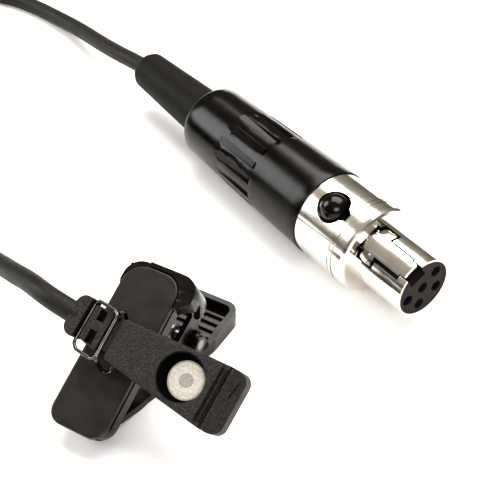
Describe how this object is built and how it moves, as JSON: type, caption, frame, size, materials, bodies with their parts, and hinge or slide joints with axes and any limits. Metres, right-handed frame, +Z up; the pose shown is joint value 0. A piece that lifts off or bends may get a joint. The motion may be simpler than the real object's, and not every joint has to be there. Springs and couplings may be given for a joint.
{
  "type": "lavalier microphone",
  "caption": "Clip-on lapel microphone: wedge-shaped capsule housing on a swivelling sprung clip, thin cable and a latching multi-way miniature plug.",
  "frame": {"origin": "bottom centre of the box round the microphone and its clip, on the surface they rest on; the cable, coil and plug are left out of that box", "axes": "+Z up from the surface; +Y along the clip, from its gripping tip to its lever; +X along the microphone towards its nose"},
  "size_m": [0.1094, 0.0729, 0.0131],
  "materials": {
    "cover_satin": "satin, fine grain",
    "jaw_gloss": "moulded, glossy",
    "spring_steel": "drawn wire",
    "bright_steel": "polished wire",
    "mic_grey": "fine matte grain",
    "screen_mesh": "fine off-white mesh",
    "capsule_can": "satin",
    "gasket_rubber": "matte",
    "board_green": "solder mask",
    "cable_jacket": "matte",
    "tie_strap": "hook and loop strap",
    "plug_nickel": "polished nickel plate",
    "insulator_grey": "moulded, satin",
    "contact_gold": "gold plated",
    "button_black": "glossy",
    "sleeve_black": "glossy",
    "relief_rubber": "matte",
    "wire_core": "tinned copper core"
  },
  "bodies": {
    "microphone": {"mic_housing": "mic_grey", "mic_base": "mic_grey", "capsule_screen": "screen_mesh", "capsule": "capsule_can", "capsule_gasket": "gasket_rubber", "circuit_board": "board_green", "cable_boot": "mic_grey", "wire_bail": "bright_steel", "bail_hub": "bright_steel", "mic_cord": "cable_jacket", "plug_cord": "cable_jacket", "cord_coil": "cable_jacket", "coil_tie": "tie_strap", "plug_shell": "plug_nickel", "plug_insulator": "insulator_grey", "socket_contacts": "contact_gold", "latch_pin": "spring_steel", "latch_spring": "spring_steel", "plug_sleeve": "sleeve_black", "plug_relief": "relief_rubber", "cable_clamp": "spring_steel", "cable_end": "cable_jacket", "plug_wiring": "wire_core"},
    "clip_front": {"clip_cover": "cover_satin", "front_jaw": "jaw_gloss", "hinge_pin": "spring_steel", "torsion_spring": "spring_steel", "swivel_rivet": "spring_steel"},
    "clip_back": {"back_jaw": "jaw_gloss"},
    "latch": {"latch_plate": "plug_nickel", "latch_button": "button_black"}
  },
  "joints": [
    {"name": "clip_swivel", "type": "hinge", "parent": "microphone", "child": "clip_front", "pos_m": [-0.00411, -0.00441, 0.0078], "axis": [0, -0.4664, 0.8846], "range_deg": [-40, 40]},
    {"name": "clip_jaw", "type": "hinge", "parent": "clip_front", "child": "clip_back", "pos_m": [-0.00531, 0.0041, 0.0033], "axis": [1, 0, 0], "range_deg": [0, 25], "stiffness_Nm_per_rad": 0.08, "springref_deg": -28.65, "deforming": ["torsion_spring"]},
    {"name": "latch_press", "type": "hinge", "parent": "microphone", "child": "latch", "pos_m": [-0.00266, 0.02957, 0.0087], "axis": [0.3467, 0.7936, 0.5], "range_deg": [0, 3], "stiffness_Nm_per_rad": 0.05, "springref_deg": -5.73, "deforming": ["latch_spring"]}
  ]
}
